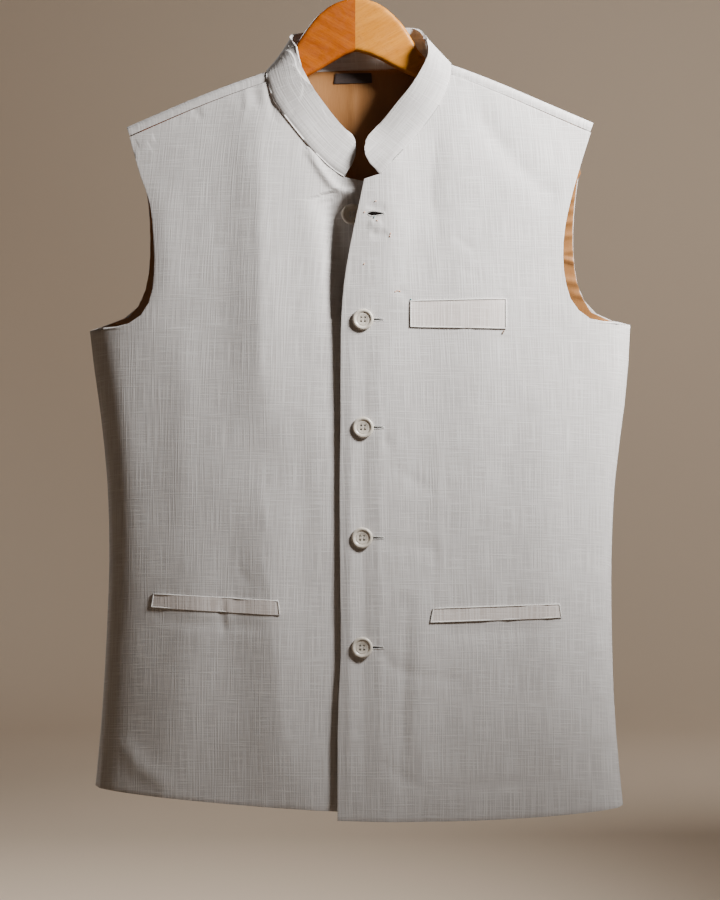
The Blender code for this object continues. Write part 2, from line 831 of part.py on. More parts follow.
def make_trim(trees):
    for name, (panel, *corners, columns, rows) in WELTS.items():
        mesh = patch_mesh(name, trees[panel], corners, columns, rows, WELT_WALL, AHEAD_OF_FRONT)
        new_object(name, mesh, welt_linen, part)
    mesh = button_mesh()
    mesh.name = "button"
    mesh.materials.append(horn)
    mesh.shade_smooth()
    mesh.set_sharp_from_angle(angle=math.radians(35))
    for number, (x, down) in enumerate(zip(*BUTTONS.values()), start=1):
        piece = bpy.data.objects.new(f"button_{number}", mesh)
        part.objects.link(piece)
        seat_button(piece, trees["front_right" if number == 1 else "front_left"], x, down)


def hanger_arm(name, side, wood):
    """A bent wooden arm: its flat outline, given the wood's thickness, with its edges rounded."""
    gap = SEAM_GAP / 2 * side
    under_x = np.linspace(UNDER_SHOULDER_X, ARM_TIP_X, UNDER_SHOULDER_POINTS) * side
    top = [(MITRE_X + gap, MITRE_TOP_DOWN), *zip(*ARM_TOP[name].values())]
    top += [(x, shoulder(x) + WOOD_BELOW_RIDGE) for x in under_x]
    under = [*zip(*ARM_UNDER[name].values()), (MITRE_X + gap, MITRE_LOW_DOWN)]
    upper = through(np.array(top), ARM_TOP_POINTS)
    outline = np.concatenate([upper, through(np.array(under), ARM_UNDER_POINTS)])
    mesh = bpy.data.meshes.new(name)
    points = [(x * MM, 0, -down * MM) for x, down in outline]
    mesh.from_pydata(points, [], [tuple(range(len(points)))])
    piece = new_object(name, mesh, wood, part)
    wall = piece.modifiers.new("thickness", "SOLIDIFY")
    wall.thickness = WOOD_THICKNESS * MM
    wall.offset = 0
    wall.use_even_offset = False
    rounding = piece.modifiers.new("rounding", "BEVEL")
    rounding.width = WOOD_ROUNDING * MM
    rounding.segments = 2
    rounding.limit_method = "ANGLE"
    rounding.angle_limit = math.radians(50)


def make_hanger():
    hanger_arm("hanger_arm_right", -1, dark_wood)
    hanger_arm("hanger_arm_left", 1, light_wood)
    wire = HOOK_RADIUS + HOOK_WIRE
    arc = np.radians(np.linspace(*HOOK_ARC, HOOK_ARC_POINTS))
    bow = np.stack([wire * np.cos(arc), HOOK_RADIUS - wire * np.sin(arc)], axis=1)
    stem = points_of(HOOK_STEM) + [0, bow[-1, 1]]
    route = np.concatenate([bow, stem, [[0, HOOK_FOOT_DOWN]]])
    curve = bpy.data.curves.new("hanger_hook", "CURVE")
    curve.dimensions = "3D"
    curve.bevel_depth = HOOK_WIRE * MM
    curve.bevel_resolution = 2
    curve.use_fill_caps = True
    line = curve.splines.new("POLY")
    line.points.add(len(route) - 1)
    for point, (x, down) in zip(line.points, route):
        point.co = (x * MM, 0, -down * MM, 1)
    curve.materials.append(steel)
    part.objects.link(bpy.data.objects.new("hanger_hook", curve))


for leftover in list(bpy.data.objects):
    bpy.data.objects.remove(leftover, do_unlink=True)

part = bpy.data.collections.new("waistcoat_on_hanger")
cutters = bpy.data.collections.new("cutters")
bpy.context.scene.collection.children.link(part)
bpy.context.scene.collection.children.link(cutters)

linen = material("grey_linen", (0.62, 0.62, 0.60), 0.9)
welt_linen = material("welt_linen", (0.68, 0.64, 0.60), 0.9)
satin = material("brown_satin", (0.30, 0.19, 0.10), 0.45)
woven = material("bare_label", (0.06, 0.045, 0.04), 0.7)
horn = material("cream_button", (0.78, 0.74, 0.66), 0.35)
dark_wood = material("orange_wood", (0.45, 0.18, 0.05), 0.4)
light_wood = material("honey_wood", (0.62, 0.30, 0.10), 0.4)
steel = material("steel_wire", (0.6, 0.6, 0.62), 0.3, 1.0)

front_trees = make_fronts()
back_points = make_back()
make_collar(back_points)
make_trim(front_trees)
make_hanger()
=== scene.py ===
"""The looks of a stand-collar waistcoat that hangs on a wooden hanger.

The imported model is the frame. Metres, +Z up, the front facing -Y, and the origin is the point of
the hook that bears on a rail. Tables of creases are in millimetres, as x and the distance down.
"""

import math

import bmesh
import bpy
import numpy as np
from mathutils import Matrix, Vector
from mathutils.bvhtree import BVHTree
from mathutils.geometry import barycentric_transform


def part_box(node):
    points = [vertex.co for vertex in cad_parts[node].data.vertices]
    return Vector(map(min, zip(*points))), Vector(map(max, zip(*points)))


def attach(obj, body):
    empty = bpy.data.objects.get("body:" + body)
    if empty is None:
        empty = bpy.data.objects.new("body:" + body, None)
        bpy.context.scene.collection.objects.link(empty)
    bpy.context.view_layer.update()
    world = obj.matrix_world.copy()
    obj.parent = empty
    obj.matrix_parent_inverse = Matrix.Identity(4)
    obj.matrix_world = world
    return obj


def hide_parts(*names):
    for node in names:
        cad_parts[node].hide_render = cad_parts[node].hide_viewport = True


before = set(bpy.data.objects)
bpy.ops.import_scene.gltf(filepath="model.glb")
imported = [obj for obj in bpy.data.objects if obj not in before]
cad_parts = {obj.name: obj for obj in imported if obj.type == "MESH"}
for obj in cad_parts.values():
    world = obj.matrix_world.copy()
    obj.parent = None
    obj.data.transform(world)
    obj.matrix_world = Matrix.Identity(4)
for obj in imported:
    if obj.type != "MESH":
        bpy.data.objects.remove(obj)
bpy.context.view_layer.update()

MM = 0.001

# The camera stands square to the front, level with the middle of the waistcoat, as far off as a
# portrait lens asks.
# The picture is 855 mm high in the hanger's middle plane.
camera_data = bpy.data.cameras.new("camera")
camera_data.sensor_width = 36.0
camera_data.lens = 92.63
camera = bpy.data.objects.new("camera", camera_data)
camera.location = (0.0, -2.2, -0.490)
camera.rotation_euler = (math.pi / 2, 0.0, 0.0)
bpy.context.scene.collection.objects.link(camera)
bpy.context.scene.camera = camera


# Hanger arms: two bent pieces of varnished hardwood, mitred together under the hook.
# The wearer's right arm is a darker orange than the left, and both have their grain along the arm.
def select_only(piece):
    bpy.ops.object.select_all(action="DESELECT")
    piece.select_set(True)
    bpy.context.view_layer.objects.active = piece


def new_material(name):
    """A material with its node tree and its shader."""
    made = bpy.data.materials.new(name)
    made.use_nodes = True
    return made, made.node_tree, made.node_tree.nodes["Principled BSDF"]


def add(tree, kind, inputs=(), **settings):
    """Adds a node. Each input is a value, or another node's output, which is linked."""
    made = tree.nodes.new(kind)
    for name, value in settings.items():
        setattr(made, name, value)
    for name, value in dict(inputs).items():
        if isinstance(value, bpy.types.NodeSocket):
            tree.links.new(value, made.inputs[name])
        else:
            made.inputs[name].default_value = value
    return made


def maths(tree, operation, *values):
    return add(tree, "ShaderNodeMath", dict(enumerate(values)), operation=operation).outputs[0]


def spread(tree, value, low, high, to_low=0.0, to_high=1.0):
    """A value taken from one range to another, held at its ends."""
    inputs = {0: value, 1: low, 2: high, 3: to_low, 4: to_high}
    return add(tree, "ShaderNodeMapRange", inputs, clamp=True).outputs[0]


def blend(tree, share, first, second):
    """Two colours mixed by a share."""
    inputs = {0: share, 6: first, 7: second}
    return add(tree, "ShaderNodeMix", inputs, data_type="RGBA").outputs[2]


def noise(tree, place, scale, detail, roughness=0.5, distortion=0.0):
    inputs = {
        "Vector": place,
        "Scale": scale,
        "Detail": detail,
        "Roughness": roughness,
        "Distortion": distortion,
    }
    return add(tree, "ShaderNodeTexNoise", inputs).outputs[0]


def stretched(tree, place, x, y, z):
    """A place scaled by its own amount along each axis."""
    inputs = {0: place, 1: (x, y, z)}
    return add(tree, "ShaderNodeVectorMath", inputs, operation="MULTIPLY").outputs[0]


def bump(tree, height, distance, strength):
    inputs = {"Height": height, "Distance": distance, "Strength": strength}
    return add(tree, "ShaderNodeBump", inputs).outputs[0]


def varnished_wood(name, pale, dark, slope, scuff):
    """Hardwood with its grain along an arm that slopes down by this angle, scuffed under its varnish."""
    made, tree, shader = new_material(name)
    place = add(tree, "ShaderNodeTexCoord").outputs["Object"]
    turn = {"Vector": place, "Rotation": (0.0, slope, 0.0)}
    along = add(tree, "ShaderNodeMapping", turn).outputs[0]
    flow = noise(tree, stretched(tree, along, 9, 40, 55), 1.0, 3.0, 0.6, 0.8)
    lines = noise(tree, stretched(tree, along, 26, 500, 500), 1.0, 4.0, 0.65, 0.4)
    pores = noise(tree, stretched(tree, along, 190, 2200, 2200), 1.0, 1.0, 0.5)
    smudge = noise(tree, stretched(tree, along, 60, 90, 110), 1.0, 4.0, 0.7, 1.2)
    tone = maths(tree, "ADD", maths(tree, "MULTIPLY", flow, 0.5), maths(tree, "MULTIPLY", lines, 0.5))
    deep = tuple(0.35 * part for part in dark[:3]) + (1,)
    colour = blend(tree, spread(tree, tone, 0.36, 0.62), dark, pale)
    colour = blend(tree, spread(tree, pores, 0.60, 0.72, 0.0, 0.4), colour, deep)
    colour = blend(tree, spread(tree, smudge, 0.60, 0.74, 0.0, scuff), colour, deep)
    tree.links.new(colour, shader.inputs["Base Color"])
    tree.links.new(spread(tree, smudge, 0.4, 0.7, 0.36, 0.6), shader.inputs["Roughness"])
    shader.inputs["Specular IOR Level"].default_value = 0.35
    shader.inputs["Coat Weight"].default_value = 0.06
    shader.inputs["Coat Roughness"].default_value = 0.3
    grain = maths(tree, "SUBTRACT", lines, pores)
    tree.links.new(bump(tree, grain, 0.00015, 0.6), shader.inputs["Normal"])
    return made


def apply_modifier(piece, kind, **settings):
    modifier = piece.modifiers.new(kind.lower(), kind)
    for name, value in settings.items():
        setattr(modifier, name, value)
    select_only(piece)
    bpy.ops.object.modifier_apply(modifier=modifier.name)


def copy_of(name, *nodes):
    """One piece with the meshes of some CAD nodes, its doubled corners merged."""
    pieces = []
    for node in nodes:
        piece = bpy.data.objects.new(name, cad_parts[node].data.copy())
        bpy.context.scene.collection.objects.link(piece)
        piece.data.materials.clear()
        pieces.append(piece)
    bpy.ops.object.select_all(action="DESELECT")
    for piece in pieces:
        piece.select_set(True)
    bpy.context.view_layer.objects.active = pieces[0]
    if len(pieces) > 1:
        bpy.ops.object.join()
    bpy.ops.object.mode_set(mode="EDIT")
    bpy.ops.mesh.select_all(action="SELECT")
    bpy.ops.mesh.customdata_custom_splitnormals_clear()
    bpy.ops.mesh.remove_doubles(threshold=0.00001)
    bpy.ops.object.mode_set(mode="OBJECT")
    return pieces[0]


def places(piece):
    points = np.empty(len(piece.data.vertices) * 3, np.float32)
    piece.data.vertices.foreach_get("co", points)
    return points.reshape(-1, 3).astype(float)


def place_all(piece, points):
    piece.data.vertices.foreach_set("co", points.astype(np.float32).ravel())
    piece.data.update()


# The arms are smoothed as one length of wood and then sawn apart at the mitre, so they lie flush.
MITRE_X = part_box("hanger_arm_right")[1][0] + 0.15 * MM
MITRE_ROUNDING = 3.4 * MM
MITRE_LAP = 0.3 * MM
ARM_SLOPE = 29
wood_length = copy_of("wood_length", "hanger_arm_right", "hanger_arm_left")
points = places(wood_length)
rounded = np.abs(points[:, 0] - MITRE_X) < MITRE_ROUNDING
points[rounded, 0] = MITRE_X - np.sign(points[rounded, 0] - MITRE_X) * MITRE_LAP
place_all(wood_length, points)
apply_modifier(wood_length, "REMESH", mode="VOXEL", voxel_size=1.0 * MM)
apply_modifier(wood_length, "SMOOTH", factor=0.5, iterations=14)

for node, side, pale, dark, scuff in (
    ("hanger_arm_right", -1, (0.40, 0.098, 0.002, 1), (0.27, 0.055, 0.001, 1), 0.2),
    ("hanger_arm_left", 1, (0.62, 0.245, 0.022, 1), (0.46, 0.165, 0.010, 1), 0.5),
):
    arm = bpy.data.objects.new(f"{node}_wood", wood_length.data.copy())
    bpy.context.scene.collection.objects.link(arm)
    select_only(arm)
    bpy.ops.object.mode_set(mode="EDIT")
    bpy.ops.mesh.select_all(action="SELECT")
    saw = (MITRE_X + 0.03 * MM * side, 0, 0)
    bpy.ops.mesh.bisect(plane_co=saw, plane_no=(side, 0, 0), use_fill=True, clear_inner=True)
    bpy.ops.object.mode_set(mode="OBJECT")
    arm.data.shade_smooth()
    arm.data.set_sharp_from_angle(angle=math.radians(50))
    slope = math.radians(ARM_SLOPE * side)
    arm.data.materials.append(varnished_wood(f"{node}_varnish", pale, dark, slope, scuff))
    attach(arm, "root")
    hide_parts(node)
bpy.data.objects.remove(wood_length)


# Hook: plated steel wire, bent to a round bow and driven into the mitre.
# It is above the picture, so it is plain.
plated_steel, tree, shader = new_material("plated_steel")
place = add(tree, "ShaderNodeTexCoord").outputs["Object"]
drawn = noise(tree, place, 900.0, 3.0, 0.6)
tree.links.new(spread(tree, drawn, 0.3, 0.7, 0.22, 0.38), shader.inputs["Roughness"])
shader.inputs["Base Color"].default_value = (0.55, 0.55, 0.57, 1)
shader.inputs["Metallic"].default_value = 1.0
hook = copy_of("hook_wire", "hanger_hook")
apply_modifier(hook, "SUBSURF", levels=2, render_levels=2)
hook.data.shade_smooth()
hook.data.materials.append(plated_steel)
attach(hook, "root")
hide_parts("hanger_hook")


# Back: one panel of pale grey slub linen, which turns over the hanger to meet the fronts.
# It hangs in long soft folds from the shoulder blades.
SHARP = math.radians(50)


def shell_of(node, name, levels, rim):
    """A finer copy of a cloth node: its triangles made quads, smoothed, with its rim rounded."""
    piece = copy_of(name, node)
    bpy.ops.object.mode_set(mode="EDIT")
    any_shape = {"shape_threshold": math.pi, "topology_influence": 1.0}
    bpy.ops.mesh.tris_convert_to_quads(face_threshold=math.radians(60), **any_shape)
    bpy.ops.mesh.select_all(action="DESELECT")
    bpy.ops.mesh.edges_select_sharp(sharpness=SHARP)
    bpy.ops.transform.edge_crease(value=1.0)
    bpy.ops.object.mode_set(mode="OBJECT")
    apply_modifier(piece, "SUBSURF", levels=levels, render_levels=levels)
    sharp_only = {"limit_method": "ANGLE", "angle_limit": SHARP, "use_clamp_overlap": True}
    apply_modifier(piece, "BEVEL", width=rim, segments=2, **sharp_only)
    piece.data.shade_smooth()
    return piece


def tree_of(piece):
    """A search tree of a piece's faces."""
    faces = [list(face.vertices) for face in piece.data.polygons]
    return BVHTree.FromPolygons([tuple(place) for place in places(piece)], faces)


def close_seam(points, nodes, gap, reach, share):
    """Draws the points beside a seam across its gap, towards the nodes on its far side."""
    for node in nodes:
        far_side = tree_of(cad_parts[node])
        for number, point in enumerate(points):
            nearest, _, _, apart = far_side.find_nearest(Vector(point), reach)
            if nearest is None or apart == 0:
                continue
            left = max(0.0, (apart - gap) * reach / (reach - gap))
            points[number] += (np.array(nearest) - point) * share * (1 - left / apart)


def relief(creases, x, down):
    """How far the creases stand out, in millimetres: each follows a bent line and fades at its ends.

    A crease is its height, which is negative for a trough, its width and the points it runs through.
    """
    total = np.zeros_like(x)
    for height, width, *line in creases:
        line = np.array(line, float)
        reach = np.concatenate([[0], np.cumsum(np.hypot(*np.diff(line, axis=0).T))])
        at = np.linspace(0, reach[-1], max(9, int(reach[-1] / width * 2)))
        line_x, line_down = (np.interp(at, reach, column) for column in line.T)
        near = (x > line_x.min() - 3 * width) & (x < line_x.max() + 3 * width)
        near &= (down > line_down.min() - 3 * width) & (down < line_down.max() + 3 * width)
        if not near.any():
            continue
        apart = np.hypot(x[near, None] - line_x, down[near, None] - line_down)
        share = at[apart.argmin(axis=1)] / reach[-1]
        fade = np.sqrt(np.clip(4 * share * (1 - share), 0.0, 1))
        total[near] += height * fade * np.exp(-((apart.min(axis=1) / width) ** 2))
    return total


def unevenness(x, down, size, seed):
    """Soft low hollows of about this size, from a few waves that cross at fixed angles."""
    total = np.zeros_like(x)
    for number in range(7):
        angle = seed + 2.4 * number
        wave = size * (1.1 + 0.35 * math.sin(3.1 * number + seed))
        run = x * math.cos(angle) + down * math.sin(angle)
        total += np.sin(run * 2 * math.pi / wave + 1.7 * number * seed)
    return total / 7


def mark_weave(piece, across, up):
    """Stores where each point lies on the cut cloth, in metres, for the weave to follow."""
    weave = piece.data.attributes.new("weave", "FLOAT_VECTOR", "POINT")
    spots = np.stack([across, up, 0 * up], axis=1)
    weave.data.foreach_set("vector", spots.astype(np.float32).ravel())


def slub_linen(name, yarn, gap, slub):
    """Plain-woven linen: even grey yarns, with thicker and paler ones here and there both ways."""
    made, tree, shader = new_material(name)
    cloth = add(tree, "ShaderNodeAttribute", attribute_name="weave").outputs["Vector"]
    # The yarns sway by up to a millimetre, over hands' breadths.
    drift = {"Vector": cloth, "Scale": 12.0, "Detail": 1.0}
    sway = add(tree, "ShaderNodeTexNoise", drift).outputs["Color"]
    sway = stretched(tree, sway, MM, MM, 0)
    cloth = add(tree, "ShaderNodeVectorMath", {0: cloth, 1: sway}, operation="ADD").outputs[0]
    # Each yarn keeps its thickness for a few centimetres and then changes.
    warp = noise(tree, stretched(tree, cloth, 760, 26, 1), 1.0, 0.0)
    weft = noise(tree, stretched(tree, cloth, 40, 760, 1), 1.0, 0.0)
    stripe = noise(tree, stretched(tree, cloth, 210, 7, 1), 1.0, 2.0, 0.7)
    row = noise(tree, stretched(tree, cloth, 14, 190, 1), 1.0, 2.0, 0.7)
    warp_slub = spread(tree, maths(tree, "MULTIPLY_ADD", stripe, 0.40, warp), 0.70, 1.00)
    weft_slub = spread(tree, maths(tree, "MULTIPLY_ADD", row, 0.40, weft), 0.74, 1.04, 0.0, 0.9)
    slubs = maths(tree, "MAXIMUM", warp_slub, weft_slub)
    thin_warp = spread(tree, warp, 0.46, 0.34)
    thin_weft = spread(tree, weft, 0.44, 0.32, 0.0, 0.8)
    thin = maths(tree, "MAXIMUM", thin_warp, thin_weft)
    fibre = noise(tree, stretched(tree, cloth, 2400, 2400, 1), 1.0, 2.0, 0.6)
    mottle = noise(tree, stretched(tree, cloth, 40, 26, 1), 1.0, 4.0, 0.65)
    colour = blend(tree, thin, yarn, gap)
    colour = blend(tree, spread(tree, fibre, 0.3, 0.7, 0.30, 0.0), colour, gap)
    colour = blend(tree, slubs, colour, slub)
    colour = blend(tree, spread(tree, mottle, 0.36, 0.62, 0.30, 0.0), colour, gap)
    tree.links.new(colour, shader.inputs["Base Color"])
    shader.inputs["Roughness"].default_value = 0.92
    shader.inputs["Specular IOR Level"].default_value = 0.25
    shader.inputs["Sheen Weight"].default_value = 0.08
    shader.inputs["Sheen Roughness"].default_value = 0.5
    raised = maths(tree, "MULTIPLY_ADD", fibre, 0.5, slubs)
    raised = maths(tree, "SUBTRACT", raised, maths(tree, "MULTIPLY", thin, 0.5))
    tree.links.new(bump(tree, raised, 0.00009, 0.8), shader.inputs["Normal"])
    return made


grey_linen = slub_linen(
    "grey_linen", (0.63, 0.608, 0.597, 1), (0.55, 0.528, 0.517, 1), (0.71, 0.693, 0.680, 1)
)

BACK_CREASES = (
    (2.9, 16, (-150, 190), (-132, 330), (-140, 560)),
    (-1.8, 18, (-60, 240), (-52, 420), (-66, 700)),
    (2.7, 15, (58, 230), (66, 420), (54, 640)),
    (-1.6, 14, (150, 200), (158, 330), (149, 520)),
    (1.8, 8, (-205, 400), (-186, 430), (-160, 452)),
    (1.8, 8, (208, 396), (187, 424), (166, 440)),
    (-1.4, 9, (-30, 560), (-12, 660), (-20, 800)),
    (1.6, 10, (120, 560), (112, 690), (122, 815)),
    (1.4, 10, (-190, 640), (-184, 730), (-192, 812)),
)
# The back covers the larger share of its seam's gap, and the fronts cover what is left.
SEAM_GAP = 0.36
SEAM_REACH = 2.0
BACK_SEAM_SHARE = 0.64
CLOTH_RIM = 0.5 * MM
back = shell_of("back", "back_shell", 3, CLOTH_RIM)
points = places(back)
x, y, down = points[:, 0] / MM, points[:, 1] / MM, -points[:, 2] / MM
# The folds fade out where the panel turns over towards the fronts.
stands = np.clip((y - 9) / 14, 0, 1)
uneven = 0.5 * unevenness(x, down, 90, 2.0)
points[:, 1] += (relief(BACK_CREASES, x, down) + uneven) * stands * MM
close_seam(points, ["front_right", "front_left"], SEAM_GAP * MM, SEAM_REACH * MM, BACK_SEAM_SHARE)
place_all(back, points)
mark_weave(back, points[:, 0] - 0.6 * np.sign(x) * points[:, 1], points[:, 2] - 0.8 * points[:, 1])
back.data.materials.append(grey_linen)
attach(back, "root")
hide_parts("back")


# Lining of the back: thin brown satin, sewn in round the neck and the armholes.
# A narrow pleat runs down its middle, and it puckers along the armhole seams.
LINING_CREASES = (
    (0.7, 3.0, (-6.5, 132), (-6.8, 160), (-7.0, 240)),
    (1.3, 2.6, (210, 246), (200, 250), (188, 252)),
    (1.0, 2.4, (209, 258), (199, 261), (186, 262)),
    (1.3, 2.6, (209, 268), (199, 272), (184, 274)),
    (1.1, 2.4, (209, 282), (199, 285), (184, 286)),
    (1.3, 2.6, (209, 296), (199, 300), (184, 304)),
    (1.7, 2.2, (209, 314), (199, 309), (186, 305)),
    (1.2, 3.4, (212, 332), (204, 330), (190, 326)),
    (1.2, 3.4, (222, 350), (214, 344), (200, 340)),
    (1.3, 2.8, (-208, 270), (-200, 274), (-188, 276)),
    (1.1, 2.6, (-208, 292), (-199, 296), (-188, 298)),
    (1.0, 6.0, (-60, 170), (-52, 210), (-48, 260)),
    (-1.0, 7.0, (44, 168), (40, 215), (46, 270)),
    (1.2, 4.0, (-206, 345), (-216, 360), (-234, 366)),
)
# How far it hangs clear of the back, from which level and x on, and over what distance it gets there.
LINING_SLACK = 2.6
SLACK_TOP, SLACK_TOP_FADE = 230, 70
SLACK_SIDE, SLACK_SIDE_FADE = 190, 30
# How far it stops short of the back's edge in an armhole, and how wide a strip is drawn out to it.
LINING_SHORT = 0.5
LINING_PULL = 16.0
ARMHOLE_TOP, ARMHOLE_TOP_FADE, ARMHOLE_FOOT = 206, 16, 376
ARMHOLE_LEVELS = np.arange(190, 380, 6.0)
LEVEL_REACH = 9


def armhole_edge(node, side):
    """The outermost x of a node at each level of an armhole, in millimetres."""
    points = places(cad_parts[node]) / MM
    near = [np.abs(-points[:, 2] - level) < LEVEL_REACH for level in ARMHOLE_LEVELS]
    return np.array([(side * points[beside, 0]).max() for beside in near])


brown_satin, tree, shader = new_material("brown_satin")
cloth = add(tree, "ShaderNodeAttribute", attribute_name="weave").outputs["Vector"]
ribs = noise(tree, stretched(tree, cloth, 2200, 60, 1), 1.0, 2.0, 0.5)
shot = noise(tree, stretched(tree, cloth, 18, 9, 1), 1.0, 3.0, 0.6)
colour = blend(tree, spread(tree, shot, 0.35, 0.65), (0.245, 0.103, 0.029, 1), (0.31, 0.136, 0.041, 1))
colour = blend(tree, spread(tree, ribs, 0.4, 0.7, 0.0, 0.3), colour, (0.40, 0.20, 0.07, 1))
tree.links.new(colour, shader.inputs["Base Color"])
shader.inputs["Roughness"].default_value = 0.42
shader.inputs["Sheen Weight"].default_value = 0.06
tree.links.new(bump(tree, ribs, 0.00008, 0.6), shader.inputs["Normal"])

lining = shell_of("back_lining", "lining_shell", 3, 0.0003)
points = places(lining)
close_seam(points, ["collar"], 2.6 * MM, 7 * MM, 0.85)
x, down = points[:, 0] / MM, -points[:, 2] / MM
points[:, 1] -= np.clip(relief(LINING_CREASES, x, down), 0, 2) * MM

# Away from its edges it hangs a little clear of the back.
slack_down = np.clip((down - SLACK_TOP) / SLACK_TOP_FADE, 0, 1)
slack_across = np.clip((SLACK_SIDE - np.abs(x)) / SLACK_SIDE_FADE, 0, 1)
points[:, 1] -= LINING_SLACK * (slack_down * slack_across) * MM

# Its edges run out to the edge of the back, so the wall of the back hardly shows in the armholes.
for side in (-1, 1):
    edge_of_back = np.interp(down, ARMHOLE_LEVELS, armhole_edge("back", side))
    edge_of_lining = np.interp(down, ARMHOLE_LEVELS, armhole_edge("back_lining", side))
    stretch = edge_of_back - edge_of_lining - LINING_SHORT
    near_edge = np.clip((side * x - edge_of_lining + LINING_PULL) / LINING_PULL, 0, 1)
    in_armhole = np.clip((down - ARMHOLE_TOP) / ARMHOLE_TOP_FADE, 0, 1) * (down < ARMHOLE_FOOT)
    points[:, 0] += side * stretch * near_edge**2 * in_armhole * MM
place_all(lining, points)
mark_weave(lining, points[:, 0], points[:, 2])
lining.data.materials.append(brown_satin)
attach(lining, "root")
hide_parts("back_lining")


# Fronts: two panels of the same linen, the wearer's left one lapped over the right.
# Each is cut in one with its facing, and hangs from its shoulder seam with a few soft creases.
FRONT_CREASES = {
    "front_right": (
        (0.7, 6.0, (-94, 180), (-93, 303), (-94, 443)),
        (0.4, 6.0, (-95, 520), (-91, 546), (-86, 570)),
        (0.4, 6.0, (-92, 590), (-87, 612), (-82, 634)),
        (0.4, 7.0, (-79, 654), (-77, 714), (-73, 770)),
        (-0.8, 4.2, (-127, 628), (-128, 645), (-127, 664)),
        (0.6, 4.2, (-123, 630), (-124, 645), (-123, 658)),
        (-0.4, 4.2, (-114, 598), (-108, 609), (-101, 617)),
        (2.6, 4.2, (-50, 204), (-37, 226), (-25, 242), (-6, 250)),
        (-6.5, 12.0, (-36, 246), (-26, 274), (-18, 312), (-14, 370)),
        (-1.2, 4.2, (-82, 140), (-83, 161), (-81, 182)),
        (1.0, 4.2, (-211, 201), (-203, 198), (-194, 194)),
        (0.9, 4.2, (-214, 211), (-208, 207), (-198, 202)),
        (-1.0, 4.2, (-161, 160), (-155, 169), (-150, 178)),
        (0.8, 4.2, (-109, 142), (-108, 155), (-106, 170)),
        (-0.7, 4.2, (-101, 140), (-99, 153), (-96, 168)),
        (0.7, 4.2, (-92, 138), (-91, 150), (-89, 163)),
        (1.2, 9.0, (-226, 762), (-206, 787), (-176, 806)),
        (0.7, 12.0, (-168, 372), (-165, 462), (-166, 560)),
        (-0.8, 11.0, (-56, 455), (-52, 555), (-56, 640)),
        (-0.7, 4.2, (-192, 649), (-130, 654), (-78, 655)),
    ),
    "front_left": (
        (-0.9, 4.2, (6, 260), (15, 264), (25, 263)),
        (1.1, 4.2, (8, 277), (15, 280), (21, 277)),
        (-1.0, 4.2, (10, 286), (17, 289), (26, 286)),
        (-0.5, 7.0, (108, 158), (117, 180), (134, 203), (159, 233), (187, 252)),
        (-0.5, 5.0, (72, 188), (69, 219), (67, 256), (75, 292)),
        (-0.3, 4.2, (57, 216), (56, 247), (59, 278)),
        (-0.4, 4.2, (87, 287), (98, 296), (110, 306)),
        (-0.3, 4.2, (93, 319), (103, 323), (112, 326)),
        (-0.3, 4.2, (129, 338), (134, 344), (139, 351)),
        (-0.5, 4.2, (34, 337), (41, 344), (47, 353)),
        (-0.7, 4.2, (22, 476), (26, 483), (30, 491)),
        (-0.6, 4.2, (29, 505), (47, 516), (71, 530)),
        (-0.5, 4.2, (17, 577), (45, 578), (69, 582), (72, 615)),
        (-0.6, 4.2, (12, 670), (33, 694), (51, 699), (97, 707)),
        (0.4, 4.2, (73, 478), (75, 555), (74, 636)),
        (-0.9, 6.0, (45, 626), (41, 714), (39, 812)),
        (-0.5, 4.2, (20, 782), (42, 795), (67, 810)),
        (-0.4, 4.2, (60, 806), (126, 803), (195, 799)),
        (0.7, 4.2, (213, 643), (225, 646), (240, 644)),
        (0.7, 4.2, (211, 678), (224, 675), (240, 679)),
        (0.6, 4.2, (213, 706), (226, 708), (241, 705)),
        (0.6, 4.2, (215, 721), (228, 719), (241, 722)),
        (0.6, 4.2, (217, 763), (230, 759), (243, 763)),
        (0.9, 5.0, (-7, 360), (-9, 537), (-10, 825)),
        (-0.6, 4.2, (5, 387), (4, 537), (4, 815)),
        (0.5, 4.2, (18, 378), (18, 537), (19, 799)),
        (-0.7, 4.2, (72, 661), (130, 659), (186, 656)),
    ),
}
FRONT_CUT = {"front_right": ((0.31, 0.73), 0.178), "front_left": ((0.31, 0.74), 0.178)}
FRONT_SEAM_SHARE = {"front_right": 0.95, "front_left": 0.5}
fronts = {}
for panel, creases in FRONT_CREASES.items():
    side = -1 if panel == "front_right" else 1
    front = shell_of(panel, f"{panel}_shell", 3, CLOTH_RIM)
    points = places(front)
    x, y, down = points[:, 0] / MM, points[:, 1] / MM, -points[:, 2] / MM
    stands = np.clip((-y - 2) / 12, 0, 1)
    uneven = 0.45 * unevenness(x, down, 80, 1.3 + side) + 0.12 * unevenness(x, down, 24, 2.1 + side)
    points[:, 1] -= (relief(creases, x, down) + uneven) * stands * MM
    close_seam(points, ["back"], SEAM_GAP * MM, SEAM_REACH * MM, FRONT_SEAM_SHARE[panel])
    place_all(front, points)
    mark_weave(front, points[:, 0] + 0.7 * side * points[:, 1], points[:, 2] + 0.15 * points[:, 1])
    front.data.materials.append(grey_linen)
    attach(front, "root")
    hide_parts(panel)
    flat, area = FRONT_CUT[panel]
    fronts[panel] = front


# Collar: a stand of two linen layers with a stiff layer between, sewn round the neck.
# Its two front corners are cut round, its cloth runs along the band, and its edge is stitched.
COLLAR_CREASES = (
    (0.23, 10.5, (30, 4), (34, 18), (42, 32)),
    (-0.27, 12.0, (60, 3), (64, 20), (60, 34)),
    (0.27, 9.0, (96, 6), (90, 20), (98, 33)),
    (-0.23, 9.0, (118, 4), (122, 16), (116, 30)),
    (0.18, 13.5, (180, 4), (184, 20), (180, 34)),
    (-0.18, 13.5, (240, 4), (236, 20), (240, 34)),
)
